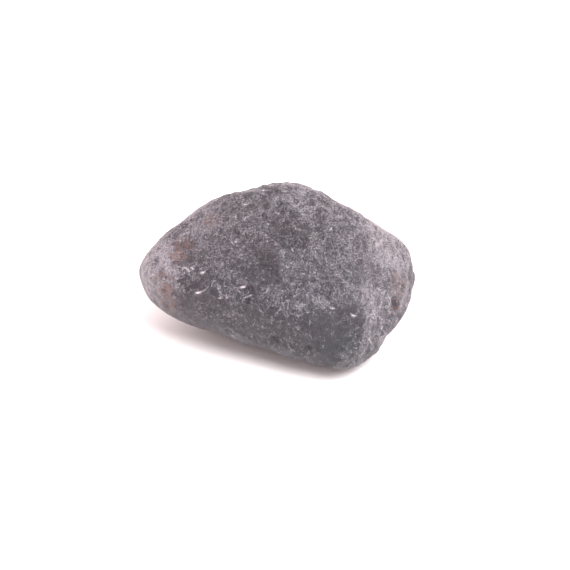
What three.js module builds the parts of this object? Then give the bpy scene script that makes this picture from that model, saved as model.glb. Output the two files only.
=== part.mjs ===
// A tektite: a worn pebble of natural glass with a pitted skin, in one solid piece.
// Millimetres, +Z up. The origin is the centre of the bounding box, on the ground. +X runs along
// the length, and the broad front looks to -Y.
import * as THREE from "three";
import { ImprovedNoise } from "three/addons/math/ImprovedNoise.js";
import { mergeVertices } from "three/addons/utils/BufferGeometryUtils.js";

// Driving dimensions. The core is the point inside the stone that headings, tilts and reaches
// start from.
const CORE_HEIGHT = 10.1; // above the ground
const EDGE_SHARPNESS = 12; // how tightly the worn faces meet: higher is crisper
const SPHERE_DETAIL = 21; // splits each triangle of an icosahedron 22 x 22 ways, 9680 in all
const SPREAD_ROUNDS = 120; // rounds of evening out those triangles on the long body

// The broad faces that breakage and wear left. heading is the compass direction that a face looks
// to, in degrees from +X through +Y, tilt its lean above the horizon, and reach its distance from
// the core.
const WORN_FACES = [
  { name: "upper front", heading: -88, tilt: 52, reach: 7.3 },
  { name: "upper front left", heading: -116, tilt: 49, reach: 7.4 },
  { name: "lower front", heading: -101, tilt: -4, reach: 12.5 },
  { name: "lower front left", heading: -116, tilt: -8, reach: 10.2 },
  { name: "front nose", heading: -64, tilt: 5, reach: 14.4 },
  { name: "right shoulder", heading: -25, tilt: 30, reach: 12.4 },
  { name: "right front", heading: -34, tilt: 17, reach: 11.9 },
  { name: "right underside", heading: -24, tilt: -57, reach: 14.3 },
  { name: "right crown", heading: 29, tilt: 40, reach: 13.7 },
  { name: "upper right slope", heading: 45, tilt: 50, reach: 10.6 },
  { name: "summit", heading: 88, tilt: 62, reach: 12.3 },
  { name: "left crown", heading: 116, tilt: 57, reach: 11.4 },
  { name: "upper left slope", heading: 150, tilt: 41, reach: 13.2 },
  { name: "left high end", heading: -172, tilt: 26, reach: 19.2 },
  { name: "left low end", heading: -161, tilt: -2, reach: 17.4 },
  { name: "left underside", heading: -161, tilt: -43, reach: 16.0 },
  { name: "front underside", heading: -122, tilt: -57, reach: 10.4 },
  { name: "nose underside", heading: -60, tilt: -75, reach: 16.0 },
  { name: "belly", heading: 0, tilt: -90, reach: 10.75 },
  { name: "back", heading: 85, tilt: 5, reach: 13.0 },
  { name: "back left", heading: 113, tilt: -3, reach: 16.6 },
  { name: "back right", heading: 45, tilt: 0, reach: 17.4 },
  { name: "back underside", heading: 95, tilt: -45, reach: 11.0 },
  { name: "back left underside", heading: 136, tilt: -70, reach: 13.0 },
  { name: "back right underside", heading: 40, tilt: -52, reach: 12.5 },
];

// Single swellings and saddles of the skin: height is at the middle, below 0 for a saddle.
const SWELLINGS = [
  { name: "saddle left of the summit", heading: 125, tilt: 43, width: 6, height: -1.0 },
  { name: "lobe right of the summit", heading: 58, tilt: 53, width: 5, height: 0.4 },
  { name: "saddle right of the summit", heading: 39, tilt: 38, width: 6, height: -0.5 },
  { name: "ledge over the nose hollow", heading: -76, tilt: 6, width: 4, height: 0.6 },
  { name: "rib right of the nose hollow", heading: -45, tilt: -4, width: 4, height: 0.6 },
  { name: "rim between top hollow and bowl", heading: -96, tilt: 45, width: 4, height: 0.35 },
  { name: "right lobe", heading: -7, tilt: -3, width: 6, height: 0.5 },
];

// The single hollows that show from a step away: bowls with a crisp, slightly raised rim.
const HOLLOWS = [
  { name: "left bowl", heading: -155, tilt: 5, width: 4.2, depth: 0.45 },
  { name: "middle bowl", heading: -114, tilt: 27, width: 4.4, depth: 0.3 },
  { name: "bowl below the middle", heading: -123, tilt: 7, width: 3.2, depth: 0.4 },
  { name: "top hollow", heading: -117, tilt: 78, width: 4.6, depth: 0.5 },
  { name: "top hollow, lower end", heading: -73, tilt: 56, width: 3.6, depth: 0.4 },
  { name: "nose hollow", heading: -60, tilt: -9, width: 7.4, depth: 0.9 },
  { name: "low left hollow", heading: -146, tilt: -7, width: 3.8, depth: 0.4 },
  { name: "ring", heading: -158, tilt: 41, width: 2.2, depth: 0.3 },
  { name: "notch in the right end", heading: -20, tilt: -17, width: 2.2, depth: 0.4 },
  { name: "hollow below the notch", heading: -26, tilt: -24, width: 4.0, depth: 0.35 },
  { name: "back bowl", heading: 78, tilt: 14, width: 5.6, depth: 0.7 },
  { name: "back low bowl", heading: 118, tilt: -10, width: 4.4, depth: 0.6 },
  { name: "back top hollow", heading: 60, tilt: 62, width: 4.8, depth: 0.5 },
  { name: "back left hollow", heading: 152, tilt: 12, width: 4.0, depth: 0.5 },
  { name: "right end bowl", heading: 14, tilt: -4, width: 3.8, depth: 0.5 },
];
const RIM_SHARE = 0.14; // a bowl's rim stands up by this share of its depth
const RIM_WIDTH = 0.16; // of the bowl's half width

// The skin between them: small pits all over, most of them narrow, on sharp-crested waves.
const PITS = { count: 420, narrowest: 1.4, widest: 2.8, depthShare: 0.055, seed: 11 };
const CREST_LEVEL = 0.2; // of a wave's height: it sets as much skin above the smooth body as below
const WAVES = [
  { length: 6.0, height: 0.5 },
  { length: 2.9, height: 0.14 },
  { length: 1.5, height: 0.07 },
];

const noise = new ImprovedNoise();

// The unit vector for a heading and a tilt in degrees.
function towards(heading, tilt) {
  const turn = THREE.MathUtils.degToRad(heading);
  const rise = THREE.MathUtils.degToRad(tilt);
  return new THREE.Vector3(
    Math.cos(rise) * Math.cos(turn),
    Math.cos(rise) * Math.sin(turn),
    Math.sin(rise),
  );
}

// A repeatable stream of numbers from 0 to 1, by a linear congruential generator.
function seededRandom(seed) {
  const FACTOR = 1664525;
  const STEP = 1013904223;
  let state = seed;
  return () => {
    state = (Math.imul(state, FACTOR) + STEP) >>> 0;
    return state / 2 ** 32;
  };
}

const faces = WORN_FACES.map(({ heading, tilt, reach }) => ({
  normal: towards(heading, tilt),
  reach,
}));

// The smooth body in a direction from the core: the worn faces, blended where they meet.
// Returns the point of its skin and the way that the skin faces there.
function smoothBody(direction) {
  let sum = 0;
  const normal = new THREE.Vector3();
  for (const face of faces) {
    const lean = Math.max(0, direction.dot(face.normal)) / face.reach;
    sum += lean ** EDGE_SHARPNESS;
    normal.addScaledVector(face.normal, lean ** (EDGE_SHARPNESS - 1) / face.reach);
  }
  const radius = sum ** (-1 / EDGE_SHARPNESS);
  return { point: direction.clone().multiplyScalar(radius), normal: normal.normalize() };
}

// The corners of the mesh, spread evenly over the smooth body. In each round a corner moves towards
// the larger of the triangles around it, and back out to the skin.
function evenCorners(mesh) {
  const { position } = mesh.attributes;
  const triangles = mesh.index.array;
  let corners = Array.from({ length: position.count }, (_, i) => {
    const direction = new THREE.Vector3().fromBufferAttribute(position, i);
    return smoothBody(direction.normalize()).point;
  });
  const triangle = new THREE.Triangle();
  const middle = new THREE.Vector3();
  for (let round = 0; round < SPREAD_ROUNDS; round++) {
    const pulls = corners.map(() => new THREE.Vector3());
    for (let i = 0; i < triangles.length; i += 3) {
      const around = triangles.slice(i, i + 3);
      triangle.set(...Array.from(around, (corner) => corners[corner]));
      triangle.getMidpoint(middle).multiplyScalar(triangle.getArea());
      for (const corner of around) pulls[corner].add(middle);
    }
    corners = pulls.map((pull) => smoothBody(pull.normalize()).point);
  }
  return corners;
}

// Small pits, each at a corner of the mesh that chance picks, so they overlap here and there.
function smallPits(corners, { count, narrowest, widest, depthShare, seed }) {
  const random = seededRandom(seed);
  return Array.from({ length: count }, () => {
    const width = THREE.MathUtils.lerp(narrowest, widest, random() ** 2);
    return {
      centre: corners[Math.floor(random() * corners.length)],
      width,
      depth: width * depthShare * (0.5 + random()),
    };
  });
}

// A feature with its middle worked out from its heading and tilt.
const placed = (feature) => ({
  ...feature,
  centre: smoothBody(towards(feature.heading, feature.tilt)).point,
});

// How far the skin stands out from the smooth body at a point of it.
function relief(point, swellings, bowls) {
  let height = 0;
  for (const wave of WAVES) {
    const { x, y, z } = point.clone().divideScalar(wave.length);
    height += wave.height * (CREST_LEVEL - Math.abs(noise.noise(x, y, z)));
  }
  for (const swelling of swellings) {
    const away = (2 * point.distanceTo(swelling.centre)) / swelling.width;
    height += swelling.height * Math.exp(-away * away);
  }
  for (const { centre, width, depth } of bowls) {
    const away = (2 * point.distanceTo(centre)) / width;
    const bowl = Math.max(0, 1 - away * away);
    const rim = RIM_SHARE * Math.exp(-(((away - 1) / RIM_WIDTH) ** 2));
    height += depth * (rim - bowl);
  }
  return height;
}

// The whole stone: a sphere drawn out to the smooth body, with the relief laid on along the skin's
// own normal, and cut flat where it meets the ground.
function stoneGeometry() {
  const sphere = new THREE.IcosahedronGeometry(1, SPHERE_DETAIL);
  sphere.deleteAttribute("normal");
  sphere.deleteAttribute("uv");
  const stone = mergeVertices(sphere);
  const corners = evenCorners(stone);
  const swellings = SWELLINGS.map(placed);
  const bowls = [...HOLLOWS.map(placed), ...smallPits(corners, PITS)];
  corners.forEach((corner, i) => {
    const { normal } = smoothBody(corner.clone().normalize());
    const skin = corner.clone().addScaledVector(normal, relief(corner, swellings, bowls));
    if (skin.z < -CORE_HEIGHT) skin.multiplyScalar(-CORE_HEIGHT / skin.z); // the flat spot
    stone.attributes.position.setXYZ(i, skin.x, skin.y, skin.z);
  });
  stone.computeVertexNormals();
  return stone;
}

const glassSkin = new THREE.MeshStandardMaterial({
  color: "#777077",
  roughness: 0.55,
  metalness: 0,
});

const tektite = new THREE.Mesh(stoneGeometry(), glassSkin);
tektite.name = "tektite";
tektite.geometry.computeBoundingBox();
const middle = tektite.geometry.boundingBox.getCenter(new THREE.Vector3());
tektite.position.set(-middle.x, -middle.y, CORE_HEIGHT);

const part = new THREE.Group();
part.add(tektite);
export default part;
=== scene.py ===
# %% [markdown]
# # A tektite
# A tektite is natural glass: rock that a meteorite's impact melted and threw up, and that came down
# as a solid drop. Water in the ground then etched its skin for ages. This one is one pebble, some
# 35 mm long, frosted all over, with pits upon pits, and a little light passes through its thin edges.
#
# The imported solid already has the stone's size, its broad worn faces and its large hollows. This file
# keeps all of that and adds what a coarse solid can't hold: the fine relief, the glass and the light.

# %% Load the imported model
import math
import random

import bmesh
import bpy
import numpy as np
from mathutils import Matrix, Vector, kdtree, noise
from mathutils.bvhtree import BVHTree


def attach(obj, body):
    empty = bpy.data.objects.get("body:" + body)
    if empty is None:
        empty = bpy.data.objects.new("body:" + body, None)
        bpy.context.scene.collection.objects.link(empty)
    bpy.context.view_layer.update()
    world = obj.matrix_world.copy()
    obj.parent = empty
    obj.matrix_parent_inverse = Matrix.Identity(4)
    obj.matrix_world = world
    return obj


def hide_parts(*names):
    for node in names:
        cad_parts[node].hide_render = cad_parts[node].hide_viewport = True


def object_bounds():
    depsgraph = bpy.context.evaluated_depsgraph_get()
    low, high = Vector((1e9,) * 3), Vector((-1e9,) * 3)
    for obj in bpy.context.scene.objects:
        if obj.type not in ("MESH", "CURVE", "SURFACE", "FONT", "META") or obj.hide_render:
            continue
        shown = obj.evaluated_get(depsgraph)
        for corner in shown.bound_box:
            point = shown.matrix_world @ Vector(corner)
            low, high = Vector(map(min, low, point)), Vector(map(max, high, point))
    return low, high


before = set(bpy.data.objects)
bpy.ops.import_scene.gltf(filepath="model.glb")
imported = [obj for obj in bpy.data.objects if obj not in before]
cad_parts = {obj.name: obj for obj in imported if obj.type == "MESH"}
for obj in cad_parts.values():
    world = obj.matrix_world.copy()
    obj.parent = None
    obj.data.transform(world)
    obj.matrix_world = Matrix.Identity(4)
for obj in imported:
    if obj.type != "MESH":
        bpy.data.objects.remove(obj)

MM = 0.001  # Blender's unit here is the metre
CAD_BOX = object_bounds()
LOW, HIGH = CAD_BOX
print("the solid's box in mm:", [round(side / MM, 2) for side in HIGH - LOW])

# %% [markdown]
# ## The camera
# The photograph looks down on the stone at about 30 degrees, square to its long side, from far away,
# so that near and far parts show at the same scale. A 100 mm lens gives that. Its distance follows
# from the scale: a pixel of the photograph spans 0.1256 mm at the stone. The aim lies a little below
# and beside the stone's middle, because the stone isn't in the middle of the picture.

# %% Camera
PHOTO_SIDE = 570  # pixels
PIXEL = 0.1256 * MM  # at the stone
LENS = 100.0  # mm
SENSOR = 36.0  # mm
LOOK_DOWN = math.radians(30)
AIM = Vector((1.05, -1.2, 8.19)) * MM  # the point that shows in the middle of the picture
CLIP = 20  # the camera sees from a 20th of its distance to 20 times that distance

distance = LENS / SENSOR * PHOTO_SIDE * PIXEL
into_picture = Vector((0, math.cos(LOOK_DOWN), -math.sin(LOOK_DOWN)))
camera_data = bpy.data.cameras.new("camera")
camera_data.lens = LENS
camera_data.sensor_width = SENSOR
camera_data.clip_start = distance / CLIP
camera_data.clip_end = distance * CLIP
camera = bpy.data.objects.new("camera", camera_data)
camera.location = AIM - into_picture * distance
camera.rotation_euler = (math.pi / 2 - LOOK_DOWN, 0, 0)
bpy.context.scene.collection.objects.link(camera)
bpy.context.scene.camera = camera
print("camera distance in mm:", round(distance / MM, 1))

# %% [markdown]
# ## Places on the stone
# Every feature that the photograph shows is placed by its pixel there: a ray from the camera through
# that pixel meets the solid at one point. The places then hold from any side, because they are
# points of the stone and not of the picture.

# %% A pixel of the photograph as a point of the stone
# the middles of three hollows, which the tables below name more than once
LEFT_BOWL = (198, 281)
MIDDLE_BOWL = (263, 269)
TOP_HOLLOW = (280, 221)

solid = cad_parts["tektite"]
solid_tree = BVHTree.FromObject(solid, bpy.context.evaluated_depsgraph_get())
right_in_picture = Vector((1, 0, 0))
up_in_picture = right_in_picture.cross(into_picture)


def on_stone(x, y):
    """The point of the solid, in mm, that a pixel of the photograph shows."""
    across = (x - PHOTO_SIDE / 2) * PIXEL
    up = (PHOTO_SIDE / 2 - y) * PIXEL
    ray = into_picture * distance + right_in_picture * across + up_in_picture * up
    place = solid_tree.ray_cast(camera.location, ray.normalized())[0]
    if place is None:
        raise ValueError(f"pixel {x}, {y} is beside the stone")
    return np.array(place) / MM


print("the middle bowl lies at", on_stone(*MIDDLE_BOWL).round(1), "mm")

# %% [markdown]
# ## The skin's mesh
# The solid's triangles are about 0.7 mm wide, and the pits start at 0.4 mm. Cutting every edge in
# half twice gives 16 times as many triangles, under 0.2 mm wide, and rounds the solid's facets on
# the way. A light smoothing takes off what is left of them. A voxel remesh would do it too, but it
# would blur the sharp edge of the flat spot.

# %% Copy the solid and divide its skin
WELD = 0.001 * MM
HALVINGS = 2
ROUNDING = 1.0
SMOOTHING = 0.5  # of a corner's way to the middle of its neighbours

skin = bmesh.new()
skin.from_mesh(solid.data)
bmesh.ops.remove_doubles(skin, verts=skin.verts, dist=WELD)
for _ in range(HALVINGS):
    bmesh.ops.subdivide_edges(skin, edges=skin.edges, cuts=1, smooth=ROUNDING, use_grid_fill=True)
all_axes = {"use_axis_x": True, "use_axis_y": True, "use_axis_z": True}
bmesh.ops.smooth_vert(skin, verts=skin.verts, factor=SMOOTHING, **all_axes)
bmesh.ops.triangulate(skin, faces=skin.faces)
skin.normal_update()
corners = np.array([corner.co for corner in skin.verts]) / MM
outward = np.array([corner.normal for corner in skin.verts])
print("the skin has", len(skin.verts), "corners and", len(skin.faces), "triangles")

# %% [markdown]
# ## Soft steps, zones and noise
# Nothing on a worn stone starts or ends at a hard line. A soft step blends one form into the next,
# a zone is a soft step of the distance from one place of the skin, and a noise changes slowly from
# place to place. Each of them gives its values for all corners of the mesh at once.

# %% Helpers that work on all corners


def smooth_step(low, high, value):
    """0 below low, 1 above high, and an even slope between."""
    share = np.clip((value - low) / (high - low), 0, 1)
    return share * share * (3 - 2 * share)


def beyond_zone(pixel, reach, core):
    """0 in the core of a round zone, a share of its reach in mm, and 1 beyond the reach."""
    away = np.linalg.norm(corners - on_stone(*pixel), axis=1)
    return smooth_step(reach * core, reach, away)


def slow_noise(length):
    """A noise from about -1 to 1 that changes over a length in mm."""
    return np.array([noise.noise(Vector(corner) / length) for corner in corners])


print("halfway up a soft step is", smooth_step(0, 1, 0.5))

# %% [markdown]
# ## Lines on the skin
# Some forms show singly: the bowls, a notch near the right end, the thin rims of the bowls with their
# painted highlights and the long crests that the flow of the melt left. Each of them is a line through a
# few pixels. Its cross-section is a formula of the distance from that line, so it needs no mesh of its
# own.

# %% Distance from a line, and the place along it


def beside_line(pixels):
    """Every corner's distance in mm from the line through some pixels, and its place on it, 0 to 1."""
    stops = [on_stone(*pixel) for pixel in pixels]
    nearest = np.full(len(corners), np.inf)
    along_line = np.zeros(len(corners))
    for number, (start, end) in enumerate(zip(stops, stops[1:])):
        span = end - start
        share = np.clip((corners - start) @ span / (span @ span), 0, 1)
        away = np.linalg.norm(corners - start - share[:, None] * span, axis=1)
        closer = away < nearest
        nearest[closer] = away[closer]
        along_line[closer] = (number + share[closer]) / (len(stops) - 1)
    return nearest, along_line


beside_bowls, _ = beside_line([LEFT_BOWL, MIDDLE_BOWL])
print("from the line between two bowls the skin is up to", round(beside_bowls.max(), 1), "mm away")

# %% [markdown]
# ## Single hollows
# The largest bowls are in the solid. These lines deepen them and add the smaller ones. A hollow is
# deepest on its line and has a round section, as etching leaves it. It could be cut with a boolean,
# but pushing the skin in keeps one closed mesh and leaves no sliver triangles.

# %% Hollows
# name: (pixels, width in mm, depth in mm, which is below 0 for a swelling)
HOLLOWS = {
    "left bowl": ([(190, 279), (202, 281)], 3.0, 0.08),
    "outer left bowl": ([(177, 277), (182, 282)], 2.4, 0.1),
    "pit above the left bowl": ([(202, 266), (206, 265)], 1.5, 0.16),
    "middle bowl": ([(257, 266), (271, 269)], 2.4, 0.12),
    "bowl below the middle": ([(240, 292), (252, 290)], 1.7, 0.16),
    "top hollow": ([(276, 222), (284, 224)], 3.4, 0.06),
    "dark hollow below it": ([(291, 241), (301, 243)], 1.6, 0.1),
    "ring pit": ([(237, 238), (237, 239)], 0.9, 0.12),
    "low left hollow": ([(207, 303), (211, 306)], 2.6, 0.08),
    "notch": ([(394, 300), (396, 308), (400, 317)], 1.0, 0.45),
    "swelling of the right end": ([(400, 243), (406, 256)], 5.0, -0.25),
    "pocket at the foot of the right end": ([(364, 341), (369, 341)], 0.8, 0.14),
}
named_relief = np.zeros(len(corners))
for pixels, width, depth in HOLLOWS.values():
    away, _ = beside_line(pixels)
    named_relief -= depth * np.maximum(1 - (2 * away / width) ** 2, 0)
print("the single hollows reach", round(-named_relief.min(), 2), "mm deep")

# %% [markdown]
# ## Rims and flow crests
# Where a bowl cuts the older skin, its edge is a sharp crest, and on some crests a white highlight is
# painted where the crest would catch the light. A crest tapers at both ends, and a noise breaks it up,
# because a real rim is nibbled by smaller pits.

# %% Crests
# name: (pixels, width in mm, height in mm, how bright its painted highlight is)
CRESTS = {
    "rim of the left bowl": (
        [(189, 288), (193, 292), (198, 293), (205, 290), (211, 284)], 0.26, 0.08, 1.0
    ),
    "outer rim at the left": ([(171, 281), (175, 285), (179, 289)], 0.26, 0.06, 0.5),
    "rim of the pit above": ([(197, 268), (200, 272), (203, 273), (207, 269)], 0.29, 0.12, 1.2),
    "small crest left of it": ([(184, 267), (187, 269), (190, 272)], 0.26, 0.08, 0.9),
    "crest between them": ([(191, 266), (193, 269), (194, 271)], 0.26, 0.08, 0.8),
    "shelf over the lower bowl": ([(239, 288), (244, 287), (248, 283)], 0.29, 0.1, 1.2),
    "rim of the lower bowl": ([(239, 299), (246, 297), (253, 294)], 0.26, 0.06, 0.8),
    "rim of the ring pit": ([(234, 240), (236, 242), (240, 240)], 0.24, 0.08, 1.2),
    "rim of the small low pit": ([(264, 309), (268, 308), (271, 304)], 0.26, 0.06, 0.8),
    "highlight right of the middle": ([(280, 293), (284, 289)], 0.3, 0.06, 0.9),
    "upper highlight": ([(205, 235), (206, 240)], 0.27, 0.06, 0.7),
    "glint right of the middle": ([(341, 283), (345, 281), (348, 284)], 0.24, 0.03, 0.8),
    "glint over the nose": ([(350, 313), (354, 316), (358, 315)], 0.24, 0.03, 0.8),
    "ledge over the nose hollow": ([(312, 311), (322, 309), (333, 310), (343, 304)], 0.3, 0.1, 0.3),
    "edge right of the nose hollow": ([(344, 305), (350, 313), (356, 323)], 0.3, 0.1, 0.4),
    "first crest of the right shoulder": ([(320, 199), (332, 206), (342, 213)], 0.26, 0.06, 0.4),
    "second crest of the right shoulder": ([(352, 219), (360, 227)], 0.26, 0.06, 0.4),
    "third crest of the right shoulder": ([(353, 229), (362, 237), (370, 247)], 0.26, 0.06, 0.4),
    "long crest to the notch": (
        [(371, 276), (381, 287), (390, 299), (395, 312), (397, 320)], 0.24, 0.03, 0.6
    ),
    "crest left of it": ([(371, 301), (374, 314), (378, 321)], 0.24, 0.02, 0.6),
    "crest below them": ([(364, 333), (370, 340), (372, 350)], 0.24, 0.02, 0.6),
    "line along the foot": ([(300, 354), (311, 357), (325, 359)], 0.26, 0.04, 0.4),
    "thread in the nose hollow": ([(312, 343), (315, 350), (320, 354)], 0.24, 0.03, 0.4),
}
BREAK_LENGTH = 0.9  # mm between the gaps that smaller pits bite out
MEAN_STANDING = 0.65  # the share of its height that a crest has on average
BREAK_STRENGTH = 0.8

standing = np.clip(MEAN_STANDING + BREAK_STRENGTH * slow_noise(BREAK_LENGTH), 0, 1)
painted_highlight = np.zeros(len(corners))
for pixels, width, height, highlight_strength in CRESTS.values():
    away, along = beside_line(pixels)
    crest = np.exp(-((2 * away / width) ** 2)) * np.sqrt(4 * along * (1 - along)) * standing
    named_relief += height * crest
    painted_highlight = np.maximum(painted_highlight, highlight_strength * crest)
print("the crests stand up to", max(height for _, _, height, _ in CRESTS.values()), "mm high")

# %% [markdown]
# ## Corners near a corner
# The pits and the small arcs with painted highlights below are too many to place one by one, so chance
# picks a corner of the mesh as the middle of each. A tree of all corners finds the few around it, which
# keeps the script quick.

# %% Find the corners around one
SEED = 5

chance = random.Random(SEED)
tree_of_corners = kdtree.KDTree(len(corners))
for number, corner in enumerate(corners):
    tree_of_corners.insert(corner, number)
tree_of_corners.balance()


def around(middle, reach):
    """The corners within a reach in mm of one of them, and the way to each."""
    found = tree_of_corners.find_range(corners[middle], reach)
    near = np.array([index for _, index, _ in found])
    return near, corners[near] - corners[middle]


print("within 1 mm of the first corner are", len(around(0, 1.0)[0]), "corners")

# %% [markdown]
# ## The pitted skin
# Etching eats glass in round pits that grow until they meet, so sharp crests stand between them.
# Each pit is a shallow bowl. The skin goes down to the lowest bowl at each corner, and where two
# bowls cut each other a crest is left by itself. On the right, streaks in the glass drew the pits
# out into short grooves that run round the stone's end.

# %% Pits over the whole skin
PIT_COUNT = 15000
NARROWEST, WIDEST = 0.4, 1.2  # mm
NARROW_BIAS = 8  # the higher, the fewer wide pits
SHALLOWEST, DEEPEST = 0.04, 0.12  # of a pit's width
STREAKS_START, STREAKS_FULL = 4.0, 9.0  # mm along X
STREAK_STRETCH = 1.9

view_axis = np.array(into_picture)
middle_of_stone = corners.mean(axis=0)
stretches = 1 + (STREAK_STRETCH - 1) * smooth_step(STREAKS_START, STREAKS_FULL, corners[:, 0])
pit_relief = np.zeros(len(corners))
for _ in range(PIT_COUNT):
    middle = chance.randrange(len(corners))
    radius = (NARROWEST + (WIDEST - NARROWEST) * chance.random() ** NARROW_BIAS) / 2
    depth = 2 * radius * chance.uniform(SHALLOWEST, DEEPEST)
    near, away = around(middle, radius * stretches[middle])
    flow = np.cross(view_axis, corners[middle] - middle_of_stone)
    flow /= np.linalg.norm(flow)
    along = away @ flow * (1 - 1 / stretches[middle])
    share = np.linalg.norm(away - along[:, None] * flow, axis=1) / radius
    pit_relief[near] = np.minimum(pit_relief[near], -depth * np.maximum(1 - share**2, 0))
print("the pits reach", round(-pit_relief.min(), 2), "mm deep")
print("they cover", round((pit_relief < 0).mean(), 2), "of the skin")

# %% [markdown]
# ## Small arcs with painted highlights
# All over the skin short pieces of rims are raised a little and painted white as highlights. Each is a
# small arc, and most have their ends up, as the lower rim of a pit has where light catches it.

# %% Scattered arcs with painted highlights
ARC_COUNT = 600
SHORTEST, LONGEST = 0.3, 0.9  # mm
ARC_WIDTH, ARC_HEIGHT = 0.19, 0.02  # mm
SAG = 0.3  # of an arc's length, from its ends to its middle
FAINTEST, BRIGHTEST = 0.3, 0.75
FAINT_BIAS = 5  # the higher, the fewer bright ones
TURN = 1.3  # at 0 all arcs lie level, and the higher, the more they turn

for _ in range(ARC_COUNT):
    middle = chance.randrange(len(corners))
    length = chance.uniform(SHORTEST, LONGEST)
    brightness = FAINTEST + (BRIGHTEST - FAINTEST) * chance.random() ** FAINT_BIAS
    level = np.array(right_in_picture) + TURN * np.array([chance.uniform(-1, 1) for _ in range(3)])
    level -= outward[middle] * (level @ outward[middle])
    level /= np.linalg.norm(level)
    near, away = around(middle, length)
    along = 2 * away @ level / length
    beside = away @ np.cross(outward[middle], level) - SAG * length * along**2
    crest = np.exp(-((2 * beside / ARC_WIDTH) ** 2)) * np.sqrt(np.maximum(1 - along**2, 0))
    named_relief[near] += ARC_HEIGHT * crest
    painted_highlight[near] = np.maximum(painted_highlight[near], brightness * crest)
print("rims and painted_highlights whiten", round((painted_highlight > FAINTEST).mean(), 3), "of the skin")

# %% [markdown]
# ## Laying the relief on
# Not all of the skin is equally rough. The hollows are smoother than the rest. The two ends and the
# upper edges are rougher, which shows as small teeth against the white behind them. A slow noise
# makes the pits deeper here and shallower there. All relief fades out just above the ground, so
# that the stone still lies on its flat spot.

# %% Move the corners
# name: (pixel, reach in mm, how deep the pits are there, where 1 is no change)
PIT_ZONES = {
    "nose hollow": ((335, 330), 5.0, 0.6),
    "middle bowl": (MIDDLE_BOWL, 2.4, 0.6),
    "left bowl": (LEFT_BOWL, 2.2, 0.6),
    "top hollow": (TOP_HOLLOW, 2.4, 0.6),
    "left tip": ((146, 275), 5.0, 2.1),
    "upper left edge": ((190, 222), 5.0, 2.1),
    "top": ((296, 190), 6.0, 2.1),
    "upper right edge": ((360, 214), 5.0, 2.1),
    "right end": ((410, 262), 6.0, 2.1),
    "right low end": ((390, 325), 4.0, 2.1),
}
PIT_ZONE_CORE = 0.4  # the share of a zone's reach that has its full change
PATCH_LENGTH = 5.0  # mm
PATCH_STRENGTH = 0.4
GROUND_BAND = 0.6  # mm

strength = 1 + PATCH_STRENGTH * slow_noise(PATCH_LENGTH)
for pixel, reach, change in PIT_ZONES.values():
    strength *= change + (1 - change) * beyond_zone(pixel, reach, PIT_ZONE_CORE)
relief = named_relief + pit_relief * strength
relief *= smooth_step(0, GROUND_BAND, corners[:, 2])
moved = corners + outward * relief[:, None]
moved[:, 2] = np.maximum(moved[:, 2], 0)
for corner, place in zip(skin.verts, moved):
    corner.co = place * MM
print("relief from", round(relief.min(), 2), "to", round(relief.max(), 2), "mm")

# %% [markdown]
# ## Where the frost is thick, and where light and shade are painted
# Frost on glass is fine roughness that scatters light. The zones make the skin darker in most of the
# hollows. On the lower front they make it darker as painted shade. On the two ends, the upper edges, the
# top and the right shoulder they make it lighter, partly as thicker frost and partly as painted light of
# the glowing edges. These differences are soft round zones of the skin, each placed by a pixel. They
# could be painted by hand, but a named zone can be read and changed.

# %% Zones of frost, painted light and painted shade
# name: (pixel, reach in mm, change of the frost)
FROST_AND_PAINTED_LIGHT_ZONES = {
    "nose hollow": ((336, 328), 4.5, -0.2),
    "left bowl": (LEFT_BOWL, 2.4, 0.08),
    "middle bowl": (MIDDLE_BOWL, 3.2, -0.17),
    "bowl below the middle": ((246, 291), 1.4, -0.1),
    "top hollow": (TOP_HOLLOW, 2.8, -0.1),
    "hollow below the top": ((296, 241), 2.6, -0.1),
    "low left hollow": ((209, 304), 2.0, -0.05),
    # the three zones of the lower front are painted shade
    "lower front, left": ((207, 308), 5.0, -0.27),
    "lower front, middle": ((258, 326), 5.0, -0.25),
    "lower front, right": ((310, 345), 6.0, -0.3),
    "groove at the right": ((371, 296), 3.0, 0.2),
    "left of the middle": ((222, 255), 4.0, -0.03),
    # the zones from the left tip to the right shoulder are lighter partly as painted light
    "left tip": ((150, 270), 5.5, 0.46),
    "upper left edge": ((193, 219), 5.0, 0.18),
    "upper right edge": ((352, 214), 4.0, 0.2),
    "top": ((300, 192), 5.0, 0.18),
    "right shoulder": ((390, 242), 6.5, 0.4),
    "right of the middle": ((358, 268), 4.0, 0.05),
    "right end": ((405, 275), 5.0, -0.03),
    "notch": ((396, 306), 1.0, -0.5),
    "right low end": ((385, 316), 4.5, 0.16),
    "low side of the right end": ((404, 299), 2.6, 0.3),
}
ZONE_CORE = 0.45  # the share of a zone's reach that has its full change


def zones(table):
    """The sum at every corner of soft round zones of the skin."""
    total = np.zeros(len(corners))
    for pixel, reach, change in table.values():
        total += change * (1 - beyond_zone(pixel, reach, ZONE_CORE))
    return total


frost_and_painted_light_zones = zones(FROST_AND_PAINTED_LIGHT_ZONES)
print("the zones change the frost by", round(frost_and_painted_light_zones.min(), 2), "to", round(frost_and_painted_light_zones.max(), 2))

# %% [markdown]
# ## Brown glass and pale threads, partly painted light
# The brown patches are the glass's own brown, painted where light getting through the thin ends and the
# notch would show it. Pale threads, the crests between the finest pits, are partly paler frost and
# partly a painted highlight on the crests. They are plain on the right and on the lower front, and
# nearly missing in the smooth bowls. Both are zones of the same kind.

# %% Zones of brown glass and of threads
# name: (pixel, reach in mm, change)
BROWN_ZONES = {
    "upper left patch": ((181, 250), 2.2, 1.1),
    "patch above it": ((211, 221), 1.4, 0.9),
    "lower left patch": ((163, 285), 2.2, 1.1),
    "foot of that patch": ((170, 305), 2.0, 1.1),
    "right end": ((400, 285), 2.4, 0.8),
    "notch": ((397, 308), 1.4, 0.9),
}
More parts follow.
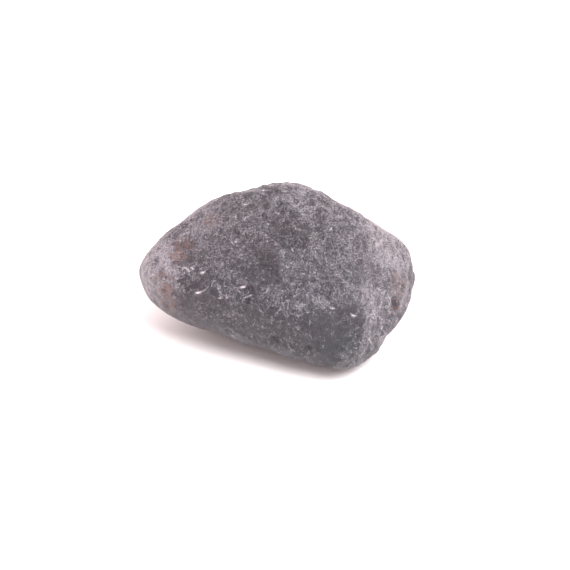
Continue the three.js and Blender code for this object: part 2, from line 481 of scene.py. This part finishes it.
# threads are pale partly as a painted highlight on the crests
THREAD_ZONES = {
    "right low side": ((378, 315), 5.0, 1.0),
    "right shoulder": ((385, 235), 6.0, 0.5),
    "lower front, left": ((225, 318), 6.0, 0.6),
    "lower front, right": ((300, 338), 7.0, 0.6),
    "left of the left bowl": ((180, 275), 3.0, 0.4),
    "below the ledge": ((320, 298), 3.0, 0.3),
    "middle bowl": ((264, 270), 2.4, -0.4),
    "left bowl": (LEFT_BOWL, 2.0, -0.3),
}
brown_zones = zones(BROWN_ZONES)
thread_zones = zones(THREAD_ZONES)
print("brown glass shows on", round((brown_zones > 0).mean(), 2), "of the skin")

# %% [markdown]
# ## The values that the material reads
# The frost has an even share, its zones, and more on the side that looks up and back, which is painted
# light: it makes the upper edges glow. The bottoms of the pits are marked as well, to paint shade into
# them.

# %% Values of the skin
BASE_FROST = 0.29
BASE_THREADS = 0.5
LIT_SIDE = np.array([0, 0.6, 0.8])  # the direction up and back
LIT_SIDE_FACING = (0.5, 0.95)  # where it begins and where it is full: 1 looks straight that way
PAINTED_RIM_LIGHT = 0.22
PIT_DEPTH_FULL_SHADE = 0.07  # mm: a pit this deep or deeper gets the full painted shade

facing_lit_side = smooth_step(*LIT_SIDE_FACING, outward @ LIT_SIDE)
surface_values = {
    # an even frost, its zones, and painted light on the side that looks up and back
    "frost_and_painted_light": BASE_FROST + frost_and_painted_light_zones + PAINTED_RIM_LIGHT * facing_lit_side,
    "brown": brown_zones,
    "threads": BASE_THREADS + thread_zones,
    "painted_highlight": np.clip(painted_highlight, 0, 1),
    # painted shade in the bottoms of the pits
    "pit": np.clip(-pit_relief / PIT_DEPTH_FULL_SHADE, 0, 1),
}
for name, values in surface_values.items():
    print(name, "from", round(values.min(), 2), "to", round(values.max(), 2))

# %% [markdown]
# ## The finished skin as an object
# The values go into the mesh as attributes, which the material reads. The object takes the plain solid's
# place.

# %% The stone
mesh = bpy.data.meshes.new("tektite_skin")
skin.to_mesh(mesh)
skin.free()
mesh.shade_smooth()
for name, values in surface_values.items():
    mesh.attributes.new(name, "FLOAT", "POINT").data.foreach_set("value", values.astype(np.float32))
stone = bpy.data.objects.new("tektite_stone", mesh)
bpy.context.scene.collection.objects.link(stone)
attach(stone, "root")
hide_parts("tektite")
print("the stone has", len(mesh.polygons), "triangles")

# %% [markdown]
# ## Colours and nodes
# Colours are written as sRGB hex, as a painter's chart gives them, and turned linear for the shader
# by the formula of the sRGB standard. One helper adds a node, so that each pattern below is a few
# short lines.

# %% Colours and the node helper


def linear(hex_colour):
    """An sRGB hex colour as linear red, green, blue and alpha."""
    shown = [int(hex_colour[start : start + 2], 16) / 255 for start in (1, 3, 5)]
    light = [level / 12.92 if level <= 0.04045 else ((level + 0.055) / 1.055) ** 2.4 for level in shown]
    return light + [1.0]


def add_node(tree, kind, links=None, **settings):
    """Adds a node, sets its properties, and links its inputs or sets them by name or number."""
    node = tree.nodes.new(kind)
    for name, value in settings.items():
        setattr(node, name, value)
    for socket, source in (links or {}).items():
        if isinstance(source, bpy.types.NodeSocket):
            tree.links.new(source, node.inputs[socket])
        else:
            node.inputs[socket].default_value = source
    return node


print("middle grey is", [round(value, 2) for value in linear("#808080")])

# %% [markdown]
# ## Grain, mottle and haze
# Under a lens the frost is a grain of pits too small for the mesh, about 0.15 mm across. It comes and
# goes in patches of half a millimetre, the mottle, and of some millimetres, the haze. A photograph of
# etched glass could give such a pattern, but a noise has no seams and the right size everywhere.

# %% Three noises
# name: (size in mm, layers of finer noise in it)
NOISES = {"grain": (0.15, 1.0), "mottle": (0.6, 2.0), "haze": (4, 3.0)}

frosted_glass = bpy.data.materials.new("frosted_natural_glass")
frosted_glass.use_nodes = True
tree = frosted_glass.node_tree
tree.nodes.clear()
position = add_node(tree, "ShaderNodeTexCoord").outputs["Object"]
noises = {}
for name, (size, layers) in NOISES.items():
    pattern = {"Vector": position, "Scale": 1 / (size * MM), "Detail": layers}
    noises[name] = add_node(tree, "ShaderNodeTexNoise", pattern).outputs["Fac"]
print("the noises are", list(noises))

# %% [markdown]
# ## Threads
# The crests between the finest pits show as pale threads, partly paler frost and partly a painted
# highlight on the crests. They are the edges of cells half a millimetre wide. Plain cells have straight
# edges, so a noise bends them first. The whole network is in the bump below, but only where the mottle
# is high is it painted pale.

# %% The edges of bent cells
CELL = 0.5 * MM
BEND_LENGTH = 0.6 * MM
BEND = 0.3 * MM
THREAD = 0.1  # of a cell
PALE_FROM, PALE_FULL = 0.5, 0.56  # of the mottle

bend = {"Vector": position, "Scale": 1 / BEND_LENGTH}
bend = add_node(tree, "ShaderNodeTexNoise", bend).outputs["Color"]
bend = add_node(tree, "ShaderNodeVectorMath", {0: bend, "Scale": BEND}, operation="SCALE").outputs[0]
bent = add_node(tree, "ShaderNodeVectorMath", {0: position, 1: bend}, operation="ADD").outputs[0]
cells = {"Vector": bent, "Scale": 1 / CELL}
edge = add_node(tree, "ShaderNodeTexVoronoi", cells, feature="DISTANCE_TO_EDGE").outputs["Distance"]
fade = {"Value": edge, "From Max": THREAD, "To Min": 1.0, "To Max": 0.0}
network = add_node(tree, "ShaderNodeMapRange", fade).outputs["Result"]
pale = {"Value": noises["mottle"], "From Min": PALE_FROM, "From Max": PALE_FULL}
pale = add_node(tree, "ShaderNodeMapRange", pale).outputs["Result"]
threads = add_node(tree, "ShaderNodeMath", {0: network, 1: pale}, operation="MULTIPLY").outputs[0]
print("a thread is", round(THREAD * CELL / MM, 2), "mm wide on each side of an edge")

# %% [markdown]
# ## Painted glints and painted pit shade
# Here and there a tiny dot is painted white as a glint, where a flake of glass would catch the light,
# and a dark speck is painted as the shade of a deep fine pit. Both are round spots in the middle of
# cells. A cell's colour is a random number, which picks the cells that have a glint and those that
# have a speck.

# %% Round spots in some of the cells
SPOT_CELL = 0.7 * MM
# name: (radius as a share of a cell, test of the cell's number, number that it is tested against)
SPOTS = {"dot": (0.14, "GREATER_THAN", 0.75), "shade_speck": (0.24, "LESS_THAN", 0.5)}

cells = add_node(tree, "ShaderNodeTexVoronoi", {"Vector": position, "Scale": 1 / SPOT_CELL})
spots = {}
for name, (radius, test, level) in SPOTS.items():
    fade = {"Value": cells.outputs["Distance"], "From Max": radius, "To Min": 1.0, "To Max": 0.0}
    fade = add_node(tree, "ShaderNodeMapRange", fade).outputs["Result"]
    picked = {0: cells.outputs["Color"], 1: level}
    picked = add_node(tree, "ShaderNodeMath", picked, operation=test).outputs[0]
    spots[name] = add_node(tree, "ShaderNodeMath", {0: fade, 1: picked}, operation="MULTIPLY").outputs[0]
print("the spots are", list(spots))

# %% [markdown]
# ## How thick the frost is at each spot, with painted light and shade
# One value says it, and it carries painted light and shade as well. It starts from the mesh's own value.
# Haze, mottle and grain make it more or less, the pale threads add to it, partly as a painted highlight,
# and the painted shade of specks and of the bottoms of pits makes it less. A noise is 0.5 on average, so
# half of the noises' shares is taken off first.

# %% The frost's thickness, with painted light and shade
NOISE_SHARES = {"haze": 0.2, "mottle": 0.15, "grain": 2.45}
SPECK_SHADE_SHARE = -1.0
PIT_SHADE_SHARE = -0.35
THREAD_SHARE = 0.75

from_mesh = {}
for name in surface_values:
    from_mesh[name] = add_node(tree, "ShaderNodeAttribute", attribute_name=name).outputs["Fac"]
frost_and_painted_light = {0: from_mesh["frost_and_painted_light"], 1: sum(NOISE_SHARES.values()) / 2}
frost_and_painted_light = add_node(tree, "ShaderNodeMath", frost_and_painted_light, operation="SUBTRACT").outputs[0]
parts = [(noises[name], share) for name, share in NOISE_SHARES.items()]
parts += [(spots["shade_speck"], SPECK_SHADE_SHARE), (from_mesh["pit"], PIT_SHADE_SHARE)]
for source, share in parts:
    frost_and_painted_light = {0: source, 1: share, 2: frost_and_painted_light}
    frost_and_painted_light = add_node(tree, "ShaderNodeMath", frost_and_painted_light, operation="MULTIPLY_ADD").outputs[0]
threads = {0: threads, 1: from_mesh["threads"]}
threads = add_node(tree, "ShaderNodeMath", threads, operation="MULTIPLY").outputs[0]
frost_and_painted_light = {0: threads, 1: THREAD_SHARE, 2: frost_and_painted_light}
frost_and_painted_light = add_node(tree, "ShaderNodeMath", frost_and_painted_light, operation="MULTIPLY_ADD", use_clamp=True).outputs[0]
print("the frost is the mesh's own value and", len(parts) + 1, "patterns")

# %% [markdown]
# ## The colour of the skin
# Where the frost is thin, dark bluish glass shows, and where it is thick the skin is a pale grey.
# The brown of the glass is painted in patches, where light passing through would show it. The painted
# highlights of rims, arcs and glint dots are nearly white. A highlight's white is kept to its middle, so
# that it looks narrower than the mesh could draw it.

# %% Mix the colours
THIN_FROST = "#606677"
THICK_FROST = "#b8b4bb"
# the brown painted where light through thin glass would show it
BROWN_FROST = "#937c7b"
HIGHLIGHT_WHITE = "#efe8ec"
BROWN_FROM, BROWN_FULL = 0.42, 0.58  # of the mottle
WHITE_FROM, WHITE_FULL = 0.18, 0.88  # of the mesh's painted highlight value

brown = {"Value": noises["mottle"], "From Min": BROWN_FROM, "From Max": BROWN_FULL}
brown["To Max"] = from_mesh["brown"]
brown = add_node(tree, "ShaderNodeMapRange", brown).outputs["Result"]
bright = {"Value": from_mesh["painted_highlight"], "From Min": WHITE_FROM, "From Max": WHITE_FULL}
bright = add_node(tree, "ShaderNodeMapRange", bright).outputs["Result"]
bright = {0: bright, 1: spots["dot"]}
bright = add_node(tree, "ShaderNodeMath", bright, operation="ADD", use_clamp=True).outputs[0]
# each layer lies over the one before it: input 0 is its share, 6 and 7 are the two colours
colour = linear(THIN_FROST)
for share, over in ((frost_and_painted_light, THICK_FROST), (brown, BROWN_FROST), (bright, HIGHLIGHT_WHITE)):
    colour = {0: share, 6: colour, 7: linear(over)}
    colour = add_node(tree, "ShaderNodeMix", colour, data_type="RGBA").outputs[2]
print("thin frost is", [round(value, 2) for value in linear(THIN_FROST)[:3]])

# %% [markdown]
# ## The glass
# Tektite glass is full of silica and poor in water, and a thick piece looks nearly black. The etched
# skin scatters light before it gets in, so the stone looks grey and hazy, and its thin ends glow. The
# shader is rough glass that lets most light through, over a brownish absorption that makes thick parts
# darker. The finest pits are a bump, too small for the mesh.

# %% Frosted natural glass
THIN_CLEARNESS, THICK_CLEARNESS = 0.88, 0.4  # the share of light that goes in, by the frost
# painted highlights let little light into the glass
HIGHLIGHT_CLEARNESS = 0.1
BUMP_HEIGHT = 0.08 * MM
BUMP_STRENGTH = 0.8
ROUGHNESS = 0.4
IOR = 1.5  # of glass rich in silica
PASSING_LIGHT = "#cca39b"
ABSORPTION = 300.0  # per metre

clear = {"Value": frost_and_painted_light, "From Max": 1.0, "To Min": THIN_CLEARNESS, "To Max": THICK_CLEARNESS}
clear = add_node(tree, "ShaderNodeMapRange", clear).outputs["Result"]
clear = {"Value": bright, "To Min": clear, "To Max": HIGHLIGHT_CLEARNESS}
clear = add_node(tree, "ShaderNodeMapRange", clear).outputs["Result"]
height = {0: network, 1: noises["grain"]}
height = add_node(tree, "ShaderNodeMath", height, operation="ADD").outputs[0]
bump = {"Height": height, "Strength": BUMP_STRENGTH, "Distance": BUMP_HEIGHT}
bump = add_node(tree, "ShaderNodeBump", bump).outputs["Normal"]
glass = {
    "Base Color": colour,
    "Roughness": ROUGHNESS,
    "IOR": IOR,
    "Normal": bump,
    "Transmission Weight": clear,
}
surface = add_node(tree, "ShaderNodeBsdfPrincipled", glass).outputs["BSDF"]
absorption = {"Color": linear(PASSING_LIGHT), "Density": ABSORPTION}
volume = add_node(tree, "ShaderNodeVolumeAbsorption", absorption).outputs["Volume"]
add_node(tree, "ShaderNodeOutputMaterial", {"Surface": surface, "Volume": volume})
mesh.materials.append(frosted_glass)
print("the glass has", len(tree.nodes), "nodes")

# %% [markdown]
# ## The floor
# The stone lies on plain white card, which the light makes fully white. It is one flat square, far
# wider than the picture.

# %% White card
CARD_WHITE = "#f4f4f4"
CARD_ROUGHNESS = 0.9
CARD_REACH = 4  # from its middle, in distances of the camera

floor_mesh = bpy.data.meshes.new("floor")
floor_builder = bmesh.new()
bmesh.ops.create_grid(floor_builder, x_segments=1, y_segments=1, size=distance * CARD_REACH)
floor_builder.to_mesh(floor_mesh)
floor_builder.free()
floor = bpy.data.objects.new("floor", floor_mesh)
bpy.context.scene.collection.objects.link(floor)
card = bpy.data.materials.new("white_card")
card.use_nodes = True
card_shader = card.node_tree.nodes["Principled BSDF"]
card_shader.inputs["Base Color"].default_value = linear(CARD_WHITE)
card_shader.inputs["Roughness"].default_value = CARD_ROUGHNESS
floor_mesh.materials.append(card)
print("the floor is", round(floor.dimensions.x, 1), "m wide")

# %% [markdown]
# ## The white surroundings
# Everything round the stone is white and a little warm, which gives the shadow its brownish tint. It
# is brighter behind the stone than on the camera's side, so the face that looks at the camera is the
# darkest, and the edges glow. Large white panels would do the same. A sky graded from front to back
# is simpler, and no edge of a panel is reflected in the stone.

# %% Surroundings graded from front to back
WARM_WHITE = "#ffeeee"
FRONT_GLOW, BACK_GLOW = 1.15, 2.5

world = bpy.data.worlds.new("white_studio")
world.use_nodes = True
sky = world.node_tree
sky.nodes.clear()
direction = add_node(sky, "ShaderNodeTexCoord").outputs["Generated"]
along_y = add_node(sky, "ShaderNodeSeparateXYZ", {"Vector": direction}).outputs["Y"]
glow = {"Value": along_y, "From Min": -1.0, "From Max": 1.0, "To Min": FRONT_GLOW, "To Max": BACK_GLOW}
glow = add_node(sky, "ShaderNodeMapRange", glow).outputs["Result"]
background = {"Color": linear(WARM_WHITE), "Strength": glow}
background = add_node(sky, "ShaderNodeBackground", background).outputs["Background"]
add_node(sky, "ShaderNodeOutputWorld", {"Surface": background})
bpy.context.scene.world = world
bpy.context.scene.view_settings.view_transform = "Standard"
print("the sky has", len(sky.nodes), "nodes")

# %% [markdown]
# ## The lamp
# The shadow in the photograph has soft edges, and its foot lies close under the stone, further out at
# the left than at the right. So the lamp is wide, and it stands high at the front right.

# %% Softbox at the front right
LAMP_SIZE = 0.21  # m across
LAMP_POWER = 1.5  # W
LAMP_PLACE = (0.13, -0.19, 0.28)  # m

lamp_data = bpy.data.lights.new("softbox", "AREA")
lamp_data.shape = "DISK"
lamp_data.size = LAMP_SIZE
lamp_data.energy = LAMP_POWER
lamp = bpy.data.objects.new("softbox", lamp_data)
lamp.location = LAMP_PLACE
lamp.rotation_euler = (-lamp.location).to_track_quat("-Z", "Y").to_euler()
bpy.context.scene.collection.objects.link(lamp)
print("the lamp spans", round(math.degrees(LAMP_SIZE / lamp.location.length)), "degrees")
